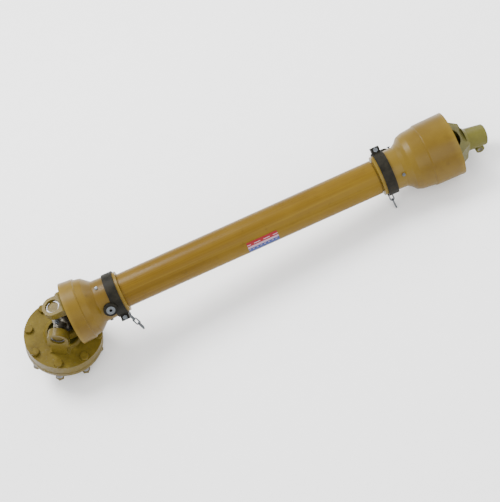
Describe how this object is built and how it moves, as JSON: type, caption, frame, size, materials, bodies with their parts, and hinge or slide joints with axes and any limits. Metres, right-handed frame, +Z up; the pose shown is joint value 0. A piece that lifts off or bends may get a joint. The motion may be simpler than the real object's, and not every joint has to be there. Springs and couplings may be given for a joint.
{
  "type": "universal joint shaft",
  "caption": "Telescopic universal joint drive shaft in plastic guard tubes with bells, a friction clutch yoke on one end and a splined quick-release yoke on the other.",
  "frame": {"origin": "centre of the whole object's bounding box in plan, on the floor it lies on", "axes": "+X from the clutch end to the tractor yoke end, +Y to the far side, +Z up"},
  "size_m": [1.075, 0.1692, 0.2136],
  "materials": {
    "guard_yellow": "moulded polyethylene, satin",
    "tube_yellow": "extruded tube, satin",
    "forging_paint": "sprayed paint over forging",
    "painted_steel": "thin overspray of paint on machined steel",
    "hub_paint": "sprayed paint",
    "bright_steel": "ground",
    "zinc_steel": "zinc plated",
    "black_nylon": "moulded",
    "white_nylon": "moulded",
    "seal_rubber": "matte",
    "tube_steel": "drawn, oiled",
    "lining": "friction material",
    "spring_steel": "oiled spring wire",
    "label_film": "printed film"
  },
  "bodies": {
    "shaft_left": {"left_inner_yoke": "forging_paint", "outer_drive_tube": "tube_steel", "left_roll_pin": "spring_steel", "left_inner_cup_a": "painted_steel", "left_inner_cup_b": "painted_steel", "left_inner_circlips": "spring_steel"},
    "left_cross": {"left_cross": "bright_steel", "left_cross_seals": "seal_rubber", "left_grease_nipple": "zinc_steel"},
    "clutch_housing": {"flange_yoke": "forging_paint", "left_outer_cup_a": "painted_steel", "left_outer_cup_b": "painted_steel", "left_outer_circlips": "spring_steel", "clutch_spacer": "forging_paint", "front_lining": "lining", "rear_lining": "lining", "pressure_plate": "forging_paint", "clutch_bolts": "painted_steel", "clutch_springs": "spring_steel", "clutch_nuts": "painted_steel"},
    "clutch_hub": {"clutch_hub": "hub_paint", "clamp_bolt": "zinc_steel"},
    "left_guard": {"left_guard_cone": "guard_yellow", "guard_outer_tube": "tube_yellow", "left_guard_bearing": "white_nylon", "left_guard_screws": "zinc_steel", "left_collar": "black_nylon", "left_collar_bolt": "zinc_steel", "left_collar_eyelet": "zinc_steel", "guard_label": "label_film"},
    "left_chain": {"left_chain_link_1": "zinc_steel", "left_chain_link_2": "zinc_steel", "left_chain_link_3": "zinc_steel", "left_chain_link_4": "zinc_steel"},
    "shaft_right": {"right_inner_yoke": "forging_paint", "inner_drive_tube": "tube_steel", "right_roll_pin": "spring_steel", "right_inner_cup_a": "painted_steel", "right_inner_cup_b": "painted_steel", "right_inner_circlips": "spring_steel"},
    "right_cross": {"right_cross": "bright_steel", "right_cross_seals": "seal_rubber", "right_grease_nipple": "zinc_steel"},
    "tractor_yoke": {"release_spring": "spring_steel", "tractor_yoke": "hub_paint", "right_outer_cup_a": "painted_steel", "right_outer_cup_b": "painted_steel", "right_outer_circlips": "spring_steel"},
    "release_pin": {"release_pin": "bright_steel"},
    "right_guard": {"right_guard_cone": "guard_yellow", "guard_inner_tube": "tube_yellow", "right_guard_bearing": "white_nylon", "right_guard_screws": "zinc_steel", "right_collar": "black_nylon", "right_collar_bolt": "zinc_steel", "right_collar_eyelet": "zinc_steel"},
    "right_chain": {"right_chain_link_1": "zinc_steel", "right_chain_link_2": "zinc_steel"}
  },
  "joints": [
    {"name": "telescope", "type": "slide", "parent": "shaft_left", "child": "shaft_right", "axis": [0.9959, 0, -0.0905], "range_m": [0, 0.28]},
    {"name": "left_guard_spin", "type": "hinge", "parent": "shaft_left", "child": "left_guard", "pos_m": [-0.41984, -0.01, 0.14805], "axis": [0.9959, 0, -0.0905], "continuous": true},
    {"name": "right_guard_spin", "type": "hinge", "parent": "shaft_right", "child": "right_guard", "pos_m": [0.43664, -0.01, 0.07025], "axis": [0.9959, 0, -0.0905], "continuous": true},
    {"name": "left_cross_turn", "type": "hinge", "parent": "shaft_left", "child": "left_cross", "pos_m": [-0.41984, -0.01, 0.14805], "axis": [0.0905, 0, 0.9959], "range_deg": [0, 48]},
    {"name": "clutch_bend", "type": "hinge", "parent": "left_cross", "child": "clutch_housing", "pos_m": [-0.41984, -0.01, 0.14805], "axis": [0.4051, 0.9135, -0.0368], "range_deg": [0, 146]},
    {"name": "clutch_slip", "type": "hinge", "parent": "clutch_housing", "child": "clutch_hub", "pos_m": [-0.41984, -0.01, 0.14805], "axis": [-0.3525, 0.1189, -0.9282], "continuous": true},
    {"name": "right_cross_turn", "type": "hinge", "parent": "shaft_right", "child": "right_cross", "pos_m": [0.43664, -0.01, 0.07025], "axis": [0.0905, 0, 0.9959], "range_deg": [-28, 28]},
    {"name": "yoke_bend", "type": "hinge", "parent": "right_cross", "child": "tractor_yoke", "pos_m": [0.43664, -0.01, 0.07025], "axis": [0, 1, 0], "range_deg": [-38, 18]},
    {"name": "release_push", "type": "slide", "parent": "tractor_yoke", "child": "release_pin", "axis": [0, -1, 0], "range_m": [0, 0.006], "stiffness_N_per_m": 900, "springref_m": -0.004, "deforming": ["release_spring"]},
    {"name": "left_chain_swing", "type": "hinge", "parent": "left_guard", "child": "left_chain", "pos_m": [-0.30216, -0.02133, 0.08383], "axis": [-0.0188, 0.9781, -0.2071], "range_deg": [-25, 30]},
    {"name": "right_chain_swing", "type": "hinge", "parent": "right_guard", "child": "right_chain", "pos_m": [0.30346, -0.02394, 0.0301], "axis": [-0.0581, 0.766, -0.6402], "range_deg": [-25, 25]}
  ]
}
